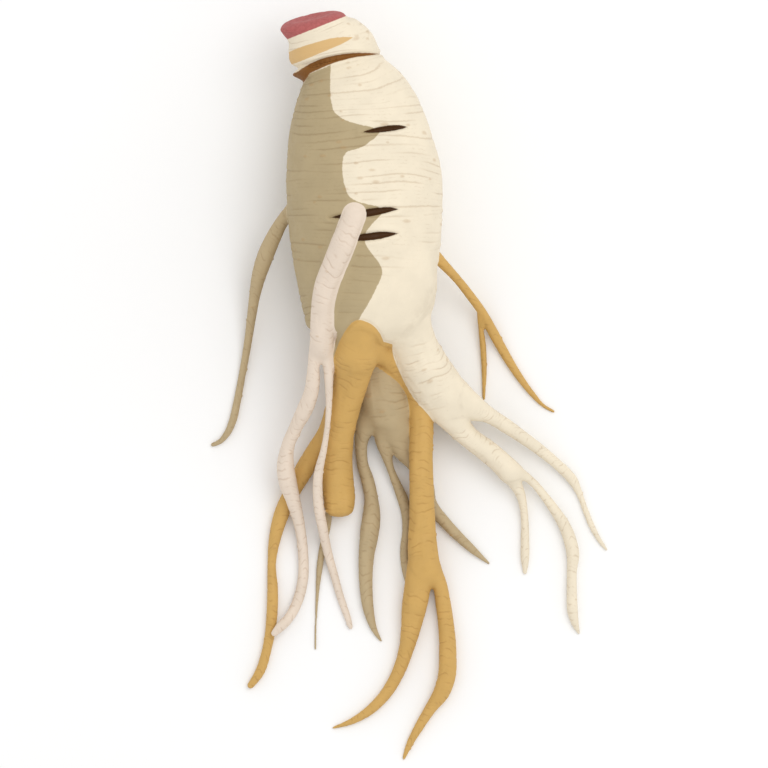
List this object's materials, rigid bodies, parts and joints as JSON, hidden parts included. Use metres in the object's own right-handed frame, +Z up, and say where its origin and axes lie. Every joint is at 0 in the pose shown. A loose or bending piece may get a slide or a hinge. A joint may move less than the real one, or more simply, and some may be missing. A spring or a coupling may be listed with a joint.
{
  "type": "ginseng root",
  "caption": "Fresh ginseng root lying down: a plump trunk with a short ringed head and stem scar at one end, and forked, tapering legs and rootlets at the other.",
  "frame": {"origin": "middle of the small flat under the trunk that the root rests on", "axes": "+Y along the trunk towards the head, +Z up from the surface, +X to the right seen from above"},
  "size_m": [0.0993, 0.1865, 0.0378],
  "materials": {
    "root_skin": "matt cream skin with fine cross wrinkles, in cream, tan, golden and pinkish zones, red-brown at the stem scar"
  },
  "bodies": {
    "root": {"ginseng_root": "root_skin"}
  },
  "joints": []
}
